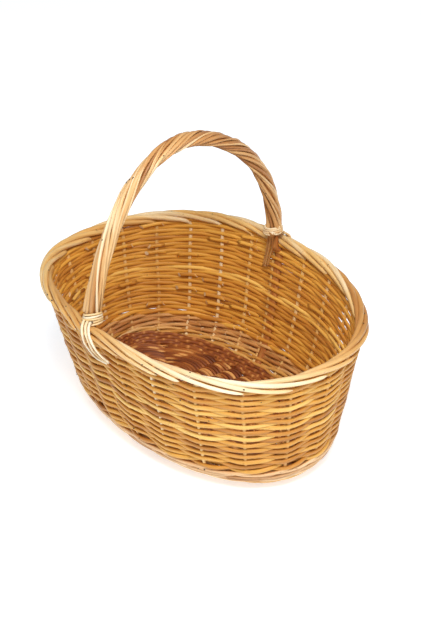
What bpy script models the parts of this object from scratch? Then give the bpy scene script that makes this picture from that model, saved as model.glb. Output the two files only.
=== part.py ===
# Oval foraging basket: a woven oval body that flares upward, with a fixed
# bow handle across its short axis. Metres, +Z up, +X along the long axis.
# Each rod, stick or band of weaving is one closed body; neighbours keep a
# small clearance and are held by passing over and under each other.
import math

import bmesh
import bpy
import numpy as np

# ---------------------------------------------------------------- dimensions
RIM_A = 0.193            # half length of the rim centre line
RIM_B = 0.135            # half width of the rim centre line
RIM_N = 2.28             # fullness of the oval
RIM_H = 0.150            # mean height of the rim centre line
SADDLE = 0.0055          # rim rises by this at the handle and falls at the ends
BASE_A = 0.1522          # half length of the base outline
BASE_B = 0.0768          # half width of the base outline
BASE_N = 2.00
FLARE = 0.460            # share of the flare that happens near the foot
FLARE_U = 0.0955

STAKES = 24              # upright stakes, two of them beside the handle
STAKE_R = 0.0022
LEG_W = 0.0035           # half width of a bow leg inside the wall
BANDS = 8                # bands of side weaving
BAND_T = 0.0015          # half thickness of a band
CLEAR = 0.00035
BAND_Z0 = 0.0175         # lower edge of the side weaving
BAND_DROP = 0.0088       # rim centre line to the upper edge of the weaving

BORDER_R = 0.0026        # rod radius in the border
BORDER_RHO = 0.0042      # distance of the rods from the rim centre line
BORDER_RUN = 2.8         # stake spaces that each border rod covers
BORDER_STEP = 95.0       # degrees turned over one stake space
BORDER_START = 200.0

BASE_Z = 0.0070          # middle plane of the base
STICKS = 7               # pierced cross sticks
STICK_PITCH = 0.022
STICK_W = 0.0030         # half width
STICK_HZ = 0.0032        # half height
STICK_END_HZ = 0.0018
LONG_W = 0.0025          # long sticks, half width
LONG_HZ = 0.0012
LONG_PITCH = 0.0061
RINGS = 5                # oval rings of base weaving
RING_T = 0.0011          # half thickness
BASE_EDGE = 0.0194       # base weaving stops this far inside the base outline

BOW_R = 0.0046           # handle core radius
WRAP_N = 6
WRAP_W = 0.0031          # wrapping rod, half width and half thickness
WRAP_T = 0.0017
WRAP_TURNS = 1.35
HANDLE_W = 0.1285        # half span of the bow
HANDLE_H = 0.1710        # rise of the bow above HANDLE_Z
HANDLE_Z = 0.1457
HANDLE_SKEW = 0.0056
LEG_IN = 0.0098          # the legs stand this far inside the rim centre line
X_NEAR = -0.0105         # where the legs stand along the long axis
X_FAR = -0.0285
BIND_R = 0.00115
BIND_TURNS = 4.0
BIND_PITCH = 0.0027

# ------------------------------------------------------------------ clean up
for ob in list(bpy.data.objects):
    bpy.data.objects.remove(ob, do_unlink=True)


# ------------------------------------------------------------------ materials
def material(name, colour, rough):
    m = bpy.data.materials.new(name)
    m.use_nodes = True
    b = m.node_tree.nodes["Principled BSDF"]
    b.inputs["Base Color"].default_value = (*colour, 1.0)
    b.inputs["Roughness"].default_value = rough
    b.inputs["Metallic"].default_value = 0.0
    m.diffuse_color = (*colour, 1.0)
    return m


# ------------------------------------------------------------------- outlines
def oval(a, b, n, t):
    c, s = np.cos(t), np.sin(t)
    return np.stack([a * np.sign(c) * np.abs(c) ** (2 / n),
                     b * np.sign(s) * np.abs(s) ** (2 / n)], -1)


def spread(u):
    return (1 - FLARE) * u + FLARE * (1 - np.exp(-u / FLARE_U)) / (1 - math.exp(-1 / FLARE_U))


FINE = np.linspace(0, 2 * np.pi, 2881)
RIM_F = oval(RIM_A, RIM_B, RIM_N, FINE)
BASE_F = oval(BASE_A, BASE_B, BASE_N, FINE)
ARC = np.r_[0, np.cumsum(np.hypot(*np.diff(RIM_F, axis=0).T))]
ROUND = ARC[-1]


def rim_z(t):
    return RIM_H - SADDLE * np.cos(2 * t)


def t_of_arc(s):
    turns = np.floor(s / ROUND)
    return np.interp(s - turns * ROUND, ARC, FINE) + 2 * np.pi * turns


def arc_of_t(t):
    turns = np.floor(t / (2 * np.pi))
    return np.interp(t - turns * 2 * np.pi, FINE, ARC) + ROUND * turns


def outline(t, u):
    r = oval(RIM_A, RIM_B, RIM_N, t)
    b = oval(BASE_A, BASE_B, BASE_N, t)
    return b + (r - b) * spread(u)


def wall(t, u):
    p = outline(t, u)
    return np.array([p[0], p[1], rim_z(t) * u])


def along(t, u):
    d = outline(t + 1e-3, u) - outline(t - 1e-3, u)
    k = math.hypot(*d)
    return np.array([d[0] / k, d[1] / k, 0.0]), k / 2e-3


def out_dir(t, u):
    a, _ = along(t, u)
    return np.array([a[1], -a[0], 0.0])


# stake places round the rim, as arc lengths: the handle stands a little to one
# side of the middle, so one side has closer stakes than the other
T_FAR = math.pi - math.acos(min(1, (abs(X_FAR) / RIM_A) ** (RIM_N / 2)))
T_NEAR = 2 * math.pi - (math.pi - math.acos(min(1, (abs(X_NEAR) / RIM_A) ** (RIM_N / 2))))
S_FAR = float(arc_of_t(T_FAR))
S_NEAR = float(arc_of_t(T_NEAR))
HALF = STAKES // 2
PLACE = [S_FAR + (S_NEAR - S_FAR) * i / HALF for i in range(HALF)]
right = ROUND - S_NEAR + S_FAR
PLACE += [S_NEAR + right * i / HALF + 0.006 * math.sin(math.pi * i / HALF) for i in range(HALF)]
HANDLE_AT = (0, HALF)
T_STAKE = [float(t_of_arc(s)) for s in PLACE]


def stake_s(i):
    return PLACE[i % STAKES] + ROUND * (i // STAKES)


# --------------------------------------------------------------- mesh helpers
OBJECTS = []


def add_mesh(name, verts, faces, mat, smooth=True):
    me = bpy.data.meshes.new(name)
    me.from_pydata([tuple(map(float, v)) for v in verts], [], faces)
    me.materials.append(mat)
    for p in me.polygons:
        p.use_smooth = smooth
    me.validate()
    bm = bmesh.new()
    bm.from_mesh(me)
    bmesh.ops.recalc_face_normals(bm, faces=bm.faces)
    if bm.calc_volume(signed=True) < 0:
        bmesh.ops.reverse_faces(bm, faces=bm.faces)
    bm.to_mesh(me)
    bm.free()
    me.update()
    ob = bpy.data.objects.new(name, me)
    bpy.context.scene.collection.objects.link(ob)
    OBJECTS.append(ob)
    return ob


def rings_to_mesh(name, rings, mat, closed=False, smooth=True):
    """rings: list of equal length loops of points."""
    n = len(rings[0])
    verts = [p for r in rings for p in r]
    m = len(rings)
    faces = []
    for i in range(m if closed else m - 1):
        a, b = i * n, ((i + 1) % m) * n
        for j in range(n):
            k = (j + 1) % n
            faces.append((a + j, a + k, b + k, b + j))
    if not closed:
        faces.append(tuple(range(n - 1, -1, -1)))
        faces.append(tuple((m - 1) * n + j for j in range(n)))
    # make the surface face outwards
    v = np.array(verts)
    vol = 0.0
    for f in faces:
        for q in range(1, len(f) - 1):
            vol += np.dot(v[f[0]], np.cross(v[f[q]], v[f[q + 1]]))
    if vol < 0:
        faces = [tuple(reversed(f)) for f in faces]
    return add_mesh(name, verts, faces, mat, smooth)


def unit(v):
    return v / np.linalg.norm(v)


def sweep(name, pts, sizes, mat, sides, ref, smooth=True):
    """Rod along pts; sizes = (half width, half height) per point; ref = the
    direction of the height at each point, before it is squared up."""
    pts = [np.asarray(p, float) for p in pts]
    rings = []
    for i, p in enumerate(pts):
        d0 = unit(p - pts[i - 1]) if i else None
        d1 = unit(pts[i + 1] - p) if i < len(pts) - 1 else None
        if d0 is None:
            d, k = d1, 1.0
        elif d1 is None:
            d, k = d0, 1.0
        else:
            d = unit(d0 + d1)
            k = 1.0 / max(0.75, float(np.dot(d, d1)))
        r = np.asarray(ref[i], float)
        h = unit(r - np.dot(r, d) * d)
        w = np.cross(d, h)
        # widen the mitre in the plane of the bend only
        if d0 is not None and d1 is not None and k > 1.0005:
            bend = d1 - d0
            bend = unit(bend - np.dot(bend, d) * d)
        else:
            bend, k = np.zeros(3), 1.0
        loop = []
        for j in range(sides):
            a = 2 * math.pi * (j + 0.5) / sides
            v = w * (math.cos(a) * sizes[i][0]) + h * (math.sin(a) * sizes[i][1])
            v = v + bend * (np.dot(v, bend) * (k - 1))
            loop.append(p + v)
        rings.append(loop)
    return rings_to_mesh(name, rings, mat, smooth=smooth)


def smooth_path(pts, step):
    """Catmull-Rom through pts, resampled at about the given step."""
    p = np.array(pts, float)
    p = np.vstack([2 * p[0] - p[1], p, 2 * p[-1] - p[-2]])
    out = []
    for i in range(1, len(p) - 2):
        for q in np.linspace(0, 1, 12, endpoint=False):
            a, b, c, d = p[i - 1], p[i], p[i + 1], p[i + 2]
            out.append(0.5 * (2 * b + (c - a) * q + (2 * a - 5 * b + 4 * c - d) * q * q
                              + (3 * b - a - 3 * c + d) * q ** 3))
    out.append(p[-2])
    out = np.array(out)
    s = np.r_[0, np.cumsum(np.linalg.norm(np.diff(out, axis=0), axis=1))]
    n = max(2, int(round(s[-1] / step)))
    q = np.linspace(0, s[-1], n + 1)
    return np.stack([np.interp(q, s, out[:, k]) for k in range(3)], 1)


# ------------------------------------------------------------------ wall grid
# heights of the joints between bands, as a share of the rim height
def u_of_z(t, z):
    return z / rim_z(t)


def band_u(t):
    lo = u_of_z(t, BAND_Z0)
    hi = 1 - BAND_DROP / rim_z(t)
    return [lo + (hi - lo) * j / BANDS for j in range(BANDS + 1)]


def wall_frame(t, u0, u1):
    """Outward normal of the wall between two heights."""
    p0, p1 = wall(t, u0), wall(t, u1)
    a, _ = along(t, 0.5 * (u0 + u1))
    up = unit(p1 - p0)
    n = unit(np.cross(a, up))
    return a, n, up


willow = material("willow_rod", (0.62, 0.37, 0.13), 0.42)
willow_light = material("willow_pale", (0.76, 0.58, 0.32), 0.42)
willow_dark = material("willow_base", (0.36, 0.18, 0.07), 0.5)
ash = material("bow_wood", (0.55, 0.34, 0.14), 0.5)

# half width of the straight run of a band over each upright
PLATEAU = [LEG_W + STAKE_R + 0.0011 if i in HANDLE_AT else STAKE_R + 0.0008 for i in range(STAKES)]


def t_shift(t, u, d):
    """Walk d metres along the outline."""
    _, k = along(t, u)
    return t + d / k


# ------------------------------------------------------------------ side bands
AMP = STAKE_R + CLEAR + BAND_T + 0.00015


def band(name, lo_of, hi_of, side_of, mat):
    rings = []
    for i in range(STAKES):
        t0 = T_STAKE[i]
        t1 = T_STAKE[(i + 1) % STAKES] + (2 * math.pi if T_STAKE[(i + 1) % STAKES] < t0 else 0)
        sa, sb = side_of(i), side_of(i + 1)
        um = 0.5 * (lo_of(t0) + hi_of(t0))
        a0 = t_shift(t0, um, -PLATEAU[i])
        a1 = t_shift(t0, um, PLATEAU[i])
        b0 = t_shift(t1, um, -PLATEAU[(i + 1) % STAKES])
        for t, off in ((a0, sa * AMP), (a1, sa * AMP), (0.5 * (a1 + b0), 0.5 * (sa + sb) * AMP)):
            u0, u1 = lo_of(t), hi_of(t)
            _, n, up = wall_frame(t, u0, u1)
            p0, p1 = wall(t, u0), wall(t, u1)
            g = up * 0.00028
            rings.append([p0 + g + n * (off - BAND_T), p0 + g + n * (off + BAND_T),
                          p1 - g + n * (off + BAND_T), p1 - g + n * (off - BAND_T)])
    return rings_to_mesh(name, rings, mat, closed=True, smooth=False)


for j in range(BANDS):
    # the top band passes outside the handle legs
    band("side_weave_%02d" % (j + 1),
         lambda t, j=j: band_u(t)[j], lambda t, j=j: band_u(t)[j + 1],
         lambda i, j=j: 1.0 if (i + BANDS - 1 - j) % 2 == 0 else -1.0,
         willow)

# ------------------------------------------------------------------- the foot
FOOT_TOP = 0.0043
WALE_LO, WALE_HI = 0.0096, 0.0146


def base_outline(t, off):
    p = oval(BASE_A, BASE_B, BASE_N, t)
    d = oval(BASE_A, BASE_B, BASE_N, t + 1e-3) - oval(BASE_A, BASE_B, BASE_N, t - 1e-3)
    d = d / np.hypot(*d)
    return p + np.array([d[1], -d[0]]) * off


def ring_plate(name, count, section, mat):
    rings = []
    for i in range(count):
        t = 2 * math.pi * i / count
        rings.append(section(t))
    return rings_to_mesh(name, rings, mat, closed=True, smooth=False)


def foot_section(t):
    o, i = base_outline(t, 0.0035), base_outline(t, -0.0170)
    return [np.array([*i, 0.0]), np.array([*o, 0.0]),
            np.array([*base_outline(t, 0.0050), FOOT_TOP]), np.array([*i, FOOT_TOP])]


ring_plate("foot_ring", 64, foot_section, willow_light)


def wale_in_section(t):
    pts = []
    for z, off in ((WALE_LO, -0.0120), (WALE_LO, None), (WALE_HI, None), (WALE_HI, -0.0120)):
        if off is None:
            u = u_of_z(t, z)
            q = wall(t, u) - out_dir(t, u) * 0.0066
            pts.append(np.array([q[0], q[1], z]))
        else:
            pts.append(np.array([*base_outline(t, off), z]))
    return pts


ring_plate("upsett_wale_inner", 64, wale_in_section, willow)

rings = []
for i in range(STAKES):
    t0 = T_STAKE[i]
    t1 = T_STAKE[(i + 1) % STAKES] + (2 * math.pi if T_STAKE[(i + 1) % STAKES] < t0 else 0)
    a0 = t_shift(t0, 0.1, -PLATEAU[i])
    a1 = t_shift(t0, 0.1, PLATEAU[i])
    for t in (a0, a1, 0.5 * (a1 + t_shift(t1, 0.1, -PLATEAU[(i + 1) % STAKES]))):
        u0, u1 = u_of_z(t, 0.0080), u_of_z(t, BAND_Z0)
        _, n, up = wall_frame(t, u0, u1)
        p0, p1 = wall(t, u0), wall(t, u1) - up * 0.0003
        rings.append([p0 + n * (AMP + 0.0003 - BAND_T), p0 + n * (AMP + 0.0003 + BAND_T),
                      p1 + n * (AMP + 0.0003 + BAND_T), p1 + n * (AMP + 0.0003 - BAND_T)])
rings_to_mesh("upsett_wale_outer", rings, willow_light, closed=True, smooth=False)


# ----------------------------------------------------------- stakes and border
def rim_centre(t):
    p = oval(RIM_A, RIM_B, RIM_N, t)
    return np.array([p[0], p[1], float(rim_z(t))])


def stake(i):
    t0 = T_STAKE[i]
    shift = LEG_W + CLEAR if i in HANDLE_AT else 0.0    # beside the bow leg
    pts, sizes, ref = [], [], []

    def put(p, r, h):
        pts.append(p)
        sizes.append((r, r))
        ref.append(h)

    def column(u):
        t = t_shift(t0, u, shift)
        return t, wall(t, u)

    t, p = column(u_of_z(t0, BASE_Z))
    inner = base_outline(t, -0.0124)
    up = np.array([0, 0, 1.0])
    o = out_dir(t, 0.05)
    z_foot = FOOT_TOP + STAKE_R + 0.0004
    put(np.array([inner[0], inner[1], z_foot]), STAKE_R, up)
    ub = u_of_z(t0, z_foot)
    q = wall(t, ub)
    put(np.array([q[0], q[1], z_foot]) - o * 0.0030, STAKE_R, up)
    u1 = u_of_z(t0, z_foot + 0.0032)
    t, p = column(u1)
    put(p, STAKE_R, unit(up * 0.6 - out_dir(t, u1)))
    edges = band_u(t0)
    for u in edges:
        t, p = column(u)
        _, n, _ = wall_frame(t, max(u - 0.02, 0), min(u + 0.02, 1))
        put(p, STAKE_R, -n)
    # bend over and run along the rim, from the inside over the top to the outside
    s0 = stake_s(i) + shift
    t = float(t_of_arc(s0))
    c = rim_centre(t)
    o = out_dir(t, 1.0)
    put(c - o * 0.0012 + np.array([0, 0, -0.0062]), 0.5 * (STAKE_R + BORDER_R), -o)
    span = [(stake_s(i + k + 1) - stake_s(i + k)) for k in range(3)]
    steps = 4
    for k in range(int(BORDER_RUN * steps + 0.5) + 1):
        x = 0.16 + (BORDER_RUN - 0.16) * k / int(BORDER_RUN * steps + 0.5)
        cell = int(min(2, math.floor(x)))
        s = stake_s(i) + sum(span[:cell]) + span[cell] * (x - cell)
        if shift:
            s += shift * max(0.0, 1 - x)
        t = float(t_of_arc(s))
        c = rim_centre(t)
        o = out_dir(t, 1.0)
        a = math.radians(BORDER_START - BORDER_STEP * (x - 0.16))
        v = o * math.cos(a) + up * math.sin(a)
        r = BORDER_R * (1 - 0.35 * max(0.0, x - 2.3) / 0.5)
        put(c + v * (BORDER_RHO + 0.0001), r, v)
    sweep("stake_%02d" % (i + 1), pts, sizes, willow_light if i % 3 == 0 else willow, 5, ref)


for i in range(STAKES):
    stake(i)


# ------------------------------------------------------------------ the handle
def bow_point(s):
    y = -HANDLE_W * math.cos(s) - HANDLE_SKEW * math.sin(s)
    z = HANDLE_Z + HANDLE_H * math.sin(s) ** (1.16 + 0.28 * math.cos(s))
    x = X_NEAR + (X_FAR - X_NEAR) * (y + HANDLE_W) / (2 * HANDLE_W)
    return np.array([x, y, z])


def leg(i):
    """Points of a leg from the foot up to just above the border, and their
    inward shift; the leg stands a little to one side of the stake place."""
    t0 = T_STAKE[i]
    out = []
    edges = band_u(t0)
    for u in [u_of_z(t0, 0.0100)] + edges[:-1]:
        t = t_shift(t0, u, -(STAKE_R + CLEAR))
        out.append((wall(t, u), wall_frame(t, max(u - 0.02, 0), min(u + 0.02, 1))[1]))
    t = t_shift(t0, 1.0, -(STAKE_R + CLEAR))
    c, o = rim_centre(t), out_dir(t, 1.0)
    for dz, din in ((-0.0150, 0.0040), (-0.0085, 0.0085), (-0.0045, LEG_IN), (0.0078, LEG_IN)):
        out.append((c - o * din + np.array([0, 0, dz]), o))
    return out


near = leg(HANDLE_AT[1])
far = leg(HANDLE_AT[0])
arch_s = [math.radians(a) for a in (18, 26, 36, 48, 62, 77, 92, 107, 121, 134, 146, 156, 164, 170)]
arch = [bow_point(s) for s in arch_s]
# carry the arch smoothly into the legs
top_near, top_far = near[-1][0], far[-1][0]
curve = smooth_path([near[-2][0], top_near] + arch + [top_far, far[-2][0]], 0.0105)
keep = [p for p in curve if p[2] > max(top_near[2], 0) + 0.004 or abs(p[1]) < 0.10]
keep = [p for p in keep if not (p[1] > 0 and p[2] < top_far[2] + 0.004)]
core = np.array(keep)
X_AX = np.array([1.0, 0.0, 0.0])

pts, sizes, ref = [], [], []
for p, n in near:
    pts.append(p)
    sizes.append((LEG_W, STAKE_R))
    ref.append(-n)
grow = 4
for k, p in enumerate(core):
    e = min(1.0, (min(k, len(core) - 1 - k) + 1) / grow)
    d = unit(core[min(k + 1, len(core) - 1)] - core[max(k - 1, 0)])
    h = unit(np.cross(X_AX, d))       # points away from the hollow of the bow
    if np.dot(h, p - np.array([0, 0, HANDLE_Z])) < 0:
        h = -h
    pts.append(p)
    sizes.append((LEG_W + (BOW_R - LEG_W) * e, STAKE_R + (BOW_R - STAKE_R) * e))
    ref.append(-h)
for p, n in reversed(far):
    pts.append(p)
    sizes.append((LEG_W, STAKE_R))
    ref.append(-n)
sweep("handle_bow", pts, sizes, ash, 8, ref)

# frame along the bow for the rods twisted round it
line = smooth_path([top_near] + list(core) + [top_far], 0.0098)
length = np.r_[0, np.cumsum(np.linalg.norm(np.diff(line, axis=0), axis=1))]
RAD = BOW_R + CLEAR + WRAP_T + 0.0001


def frame_at(k, path):
    d = unit(path[min(k + 1, len(path) - 1)] - path[max(k - 1, 0)])
    h = np.cross(d, X_AX)
    h = unit(h)
    w = unit(np.cross(h, d))
    return d, h, w


first = next(k for k, q in enumerate(length) if q > 0.0008)
for i in range(WRAP_N):
    pts, sizes, ref = [], [], []
    for k in range(first, len(line) - 1):
        d, h, w = frame_at(k, line)
        a = 2 * math.pi * (i / WRAP_N) + 2 * math.pi * WRAP_TURNS * length[k] / length[-1]
        v = h * math.cos(a) + w * math.sin(a)
        pts.append(line[k] + v * RAD)
        sizes.append((WRAP_W, WRAP_T))
        ref.append(v)
    sweep("handle_wrap_%02d" % (i + 1), pts, sizes, willow_light if i % 2 else willow, 6, ref)

# bindings round both feet of the handle
BR = RAD + WRAP_T + CLEAR + BIND_R + 0.0004
for name, rev in (("handle_binding_near", False), ("handle_binding_far", True)):
    path = line[::-1] if rev else line
    ln = np.r_[0, np.cumsum(np.linalg.norm(np.diff(path, axis=0), axis=1))]
    pts, sizes, ref = [], [], []
    n = int(BIND_TURNS * 10)
    for k in range(n + 1):
        q = 0.0024 + BIND_PITCH * BIND_TURNS * k / n
        j = min(max(int(np.searchsorted(ln, q)), 1), len(path) - 1)
        f = (q - ln[j - 1]) / (ln[j] - ln[j - 1])
        p = path[j - 1] + (path[j] - path[j - 1]) * f
        d, h, w = frame_at(2, path)
        a = 2 * math.pi * BIND_TURNS * k / n
        v = h * math.cos(a) + w * math.sin(a)
        pts.append(p + v * BR)
        sizes.append((BIND_R, BIND_R))
        ref.append(v)
    sweep(name, pts, sizes, willow_light, 5, ref)


# -------------------------------------------------------------------- the base
def base_half_width(x, off):
    t = FINE[:721]
    p = np.array([base_outline(v, off) for v in t[::6]])
    return float(np.interp(x, p[::-1, 0], p[::-1, 1]))


SLOT_HZ = LONG_HZ + CLEAR
SLOT_Y = LONG_PITCH + LONG_W + CLEAR
for i in range(STICKS):
    x = (i - (STICKS - 1) / 2) * STICK_PITCH
    y_end = base_half_width(abs(x), -0.0136)
    y_taper = base_half_width(abs(x), -0.0215)
    x0, x1 = x - STICK_W, x + STICK_W
    ys = [-y_end, -y_taper, -SLOT_Y, SLOT_Y, y_taper, y_end]
    hz = [STICK_END_HZ, STICK_HZ, STICK_HZ, STICK_HZ, STICK_HZ, STICK_END_HZ]
    verts, faces = [], []
    for xx in (x0, x1):
        for y, h in zip(ys, hz):
            verts.append((xx, y, BASE_Z - h))
            verts.append((xx, y, BASE_Z + h))
        for y in (-SLOT_Y, SLOT_Y):
            verts.append((xx, y, BASE_Z - SLOT_HZ))
            verts.append((xx, y, BASE_Z + SLOT_HZ))
    K = 16
    b = lambda s, j: s * K + 2 * j          # lower vertex of column j
    u_ = lambda s, j: s * K + 2 * j + 1     # upper vertex of column j
    c = lambda s, j: s * K + 12 + j         # slot corners: y- lo, y- hi, y+ lo, y+ hi
    for s, flip in ((0, False), (1, True)):
        f = [(b(s, 0), b(s, 1), u_(s, 1), u_(s, 0)),
             (b(s, 1), b(s, 2), c(s, 0), c(s, 1), u_(s, 2), u_(s, 1)),
             (b(s, 2), b(s, 3), c(s, 2), c(s, 0)),
             (c(s, 1), c(s, 3), u_(s, 3), u_(s, 2)),
             (b(s, 3), b(s, 4), u_(s, 4), u_(s, 3), c(s, 3), c(s, 2)),
             (b(s, 4), b(s, 5), u_(s, 5), u_(s, 4))]
        faces += [tuple(reversed(q)) if not flip else q for q in f]
    for j in range(5):
        faces.append((b(0, j), b(0, j + 1), b(1, j + 1), b(1, j)))
        faces.append((u_(0, j + 1), u_(0, j), u_(1, j), u_(1, j + 1)))
    faces.append((u_(0, 0), b(0, 0), b(1, 0), u_(1, 0)))
    faces.append((b(0, 5), u_(0, 5), u_(1, 5), b(1, 5)))
    faces.append((c(0, 0), c(0, 2), c(1, 2), c(1, 0)))
    faces.append((c(0, 3), c(0, 1), c(1, 1), c(1, 3)))
    faces.append((c(0, 1), c(0, 0), c(1, 0), c(1, 1)))
    faces.append((c(0, 2), c(0, 3), c(1, 3), c(1, 2)))
    add_mesh("base_stick_%02d" % (i + 1), verts, faces, ash, smooth=False)

for i in range(3):
    y = (i - 1) * LONG_PITCH
    tip = BASE_A - 0.0138
    tip = tip - 0.0006 * abs(i - 1)
    sweep("base_runner_%02d" % (i + 1),
          [(-tip, y, BASE_Z), (-0.08, y, BASE_Z), (0.08, y, BASE_Z), (tip, y, BASE_Z)],
          [(LONG_W * 1.15, LONG_HZ * 1.15)] * 4, ash, 8, [(0, 0, 1.0)] * 4)

CORE_A, CORE_B, CORE_N = 0.0785, 0.0112, 6.0
EDGE_A, EDGE_B = BASE_A - BASE_EDGE, BASE_B - BASE_EDGE
TT = np.linspace(0, 2 * np.pi, 5761)
AMP_B = STICK_HZ + CLEAR + RING_T
BUNDLE = LONG_PITCH + LONG_W + 0.0011
PL = STICK_W + 0.0007


def base_ring_points(f):
    """Angles of the plateau ends and the middles, all the way round."""
    a = oval(CORE_A, CORE_B, CORE_N, TT)
    b = oval(EDGE_A, EDGE_B, BASE_N, TT)
    p = a * (1 - f) + b * f
    q = len(TT) // 4
    marks = []
    # from the +X end, counter-clockwise; each entry is a plateau (start, end)
    hw = float(np.interp(BUNDLE, p[:q, 1], TT[:q]))
    marks.append((-hw, hw))
    half = len(TT) // 2
    xs, ts = p[:half + 1, 0][::-1], TT[:half + 1][::-1]
    for i in range(STICKS - 1, -1, -1):
        x = (i - (STICKS - 1) / 2) * STICK_PITCH
        marks.append((float(np.interp(x + PL, xs, ts)), float(np.interp(x - PL, xs, ts))))
    marks.append((math.pi - hw, math.pi + hw))
    for m in list(reversed(marks[1:1 + STICKS])):
        marks.append((2 * math.pi - m[1], 2 * math.pi - m[0]))
    return marks, p


def ring_edge(f, par):
    marks, p = base_ring_points(f)
    out = []
    m = len(marks)
    for k in range(m):
        a, b = marks[k]
        nxt = marks[(k + 1) % m][0] + (2 * math.pi if k == m - 1 else 0)
        sgn = 1.0 if (k + par) % 2 == 0 else -1.0
        gap = nxt - b
        run = [(a, sgn), (b, sgn), (b + 0.5 * gap, 0.0)]
        if k in (0, STICKS, STICKS + 1, m - 1):     # the turns at the ends
            run = [(a, sgn), (0.5 * (a + b), sgn)] if k in (0, STICKS + 1) else [(a, sgn)]
            run += [(b, sgn), (b + 0.22 * gap, 0.55 * sgn), (b + 0.5 * gap, 0.0),
                    (b + 0.78 * gap, -0.55 * sgn)]
        for t, h in run:
            w = t % (2 * math.pi)
            out.append((float(np.interp(w, TT, p[:, 0])), float(np.interp(w, TT, p[:, 1])), h))
    return out


for r in range(RINGS):
    g = 0.0025
    f0, f1 = r / RINGS + g, (r + 1) / RINGS - g
    e0, e1 = ring_edge(f0, r), ring_edge(f1, r)
    rings = []
    for (xa, ya, h), (xb, yb, _) in zip(e0, e1):
        z = BASE_Z + h * AMP_B
        rings.append([np.array([xa, ya, z - RING_T]), np.array([xb, yb, z - RING_T]),
                      np.array([xb, yb, z + RING_T]), np.array([xa, ya, z + RING_T])])
    rings_to_mesh("base_weave_%02d" % (r + 1), rings, willow_dark, closed=True, smooth=False)
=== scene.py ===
# Oval willow foraging basket: every rod of the weave, the border, the twisted
# bow handle and the base is its own tapered, cut length of willow.
import math

import bpy
import numpy as np
from mathutils import Matrix, Vector


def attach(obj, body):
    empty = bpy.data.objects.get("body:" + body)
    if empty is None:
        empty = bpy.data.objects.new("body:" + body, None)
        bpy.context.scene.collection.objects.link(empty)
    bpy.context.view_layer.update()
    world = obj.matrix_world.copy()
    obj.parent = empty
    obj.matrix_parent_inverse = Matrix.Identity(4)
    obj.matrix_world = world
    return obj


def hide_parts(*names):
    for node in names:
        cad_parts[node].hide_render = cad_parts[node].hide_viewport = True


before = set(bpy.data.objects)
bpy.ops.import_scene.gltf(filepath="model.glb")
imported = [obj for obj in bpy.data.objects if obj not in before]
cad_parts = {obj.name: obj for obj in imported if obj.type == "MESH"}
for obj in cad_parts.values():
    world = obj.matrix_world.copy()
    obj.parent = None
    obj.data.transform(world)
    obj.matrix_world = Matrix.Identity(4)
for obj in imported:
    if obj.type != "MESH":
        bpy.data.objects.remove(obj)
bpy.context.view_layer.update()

# ---------------------------------------------------------------- dimensions
RIM_A, RIM_B, RIM_N, RIM_H, SADDLE = 0.193, 0.135, 2.28, 0.150, 0.0055
BASE_A, BASE_B, BASE_N = 0.1522, 0.0768, 2.00
FLARE, FLARE_U = 0.460, 0.0955
STAKES, HALF = 24, 12
STAKE_R = 0.0022
BOW_R = 0.0046
BASE_Z = 0.0070
LEG_W, CLEAR = 0.0035, 0.00035
HANDLE_W, HANDLE_H, HANDLE_Z, HANDLE_SKEW = 0.1285, 0.1686, 0.1457, 0.0014
LEG_IN, X_NEAR, X_FAR = 0.0098, -0.0105, -0.0285
ROWS = 27                # single rows of side weaving
ROW_Z0 = 0.0370          # lower edge of the single rows
ROW_DROP = 0.0024        # rim centre line to the upper edge of the rows
TILT = 0.34              # rows sink where they pass outside a stake
UP = np.array([0.0, 0.0, 1.0])
X_AX = np.array([1.0, 0.0, 0.0])


# ------------------------------------------------------------------ the outline
def oval(a, b, n, t):
    c, s = np.cos(t), np.sin(t)
    return np.stack([a * np.sign(c) * np.abs(c) ** (2 / n),
                     b * np.sign(s) * np.abs(s) ** (2 / n)], -1)


def spread(u):
    return (1 - FLARE) * u + FLARE * (1 - np.exp(-u / FLARE_U)) / (1 - math.exp(-1 / FLARE_U))


FINE = np.linspace(0, 2 * np.pi, 2881)
RIM_F = oval(RIM_A, RIM_B, RIM_N, FINE)
ARC = np.r_[0, np.cumsum(np.hypot(*np.diff(RIM_F, axis=0).T))]
ROUND = ARC[-1]


def rim_z(t):
    return RIM_H - SADDLE * np.cos(2 * t)


def t_of_arc(s):
    turns = np.floor(s / ROUND)
    return np.interp(s - turns * ROUND, ARC, FINE) + 2 * np.pi * turns


def arc_of_t(t):
    turns = np.floor(t / (2 * np.pi))
    return np.interp(t - turns * 2 * np.pi, FINE, ARC) + ROUND * turns


def wall(t, u):
    t, u = np.broadcast_arrays(np.asarray(t, float), np.asarray(u, float))
    r = oval(RIM_A, RIM_B, RIM_N, t)
    b = oval(BASE_A, BASE_B, BASE_N, t)
    p = b + (r - b) * spread(u)[..., None]
    return np.concatenate([p, (rim_z(t) * u)[..., None]], -1)


def unit(v):
    v = np.asarray(v, float)
    return v / np.maximum(np.linalg.norm(v, axis=-1, keepdims=True), 1e-12)


def wall_dirs(t, u):
    """Along the outline, outward, and up the wall."""
    e = 2e-3
    a = unit(wall(t + e, u) - wall(t - e, u))
    up = unit(wall(t, np.asarray(u) + 0.02) - wall(t, np.asarray(u) - 0.02))
    n = unit(np.cross(a, up))
    return a, n, up


def rim_centre(t):
    p = oval(RIM_A, RIM_B, RIM_N, t)
    return np.concatenate([p, np.asarray(rim_z(t))[..., None]], -1)


def out_flat(t, a=RIM_A, b=RIM_B, n=RIM_N):
    d = oval(a, b, n, t + 2e-3) - oval(a, b, n, t - 2e-3)
    d = d / np.linalg.norm(d, axis=-1, keepdims=True)
    return np.stack([d[..., 1], -d[..., 0], np.zeros_like(d[..., 0])], -1)


def base_line(t, off):
    p = oval(BASE_A, BASE_B, BASE_N, t)
    o = out_flat(t, BASE_A, BASE_B, BASE_N)
    return p + o[..., :2] * np.asarray(off)[..., None]


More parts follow.
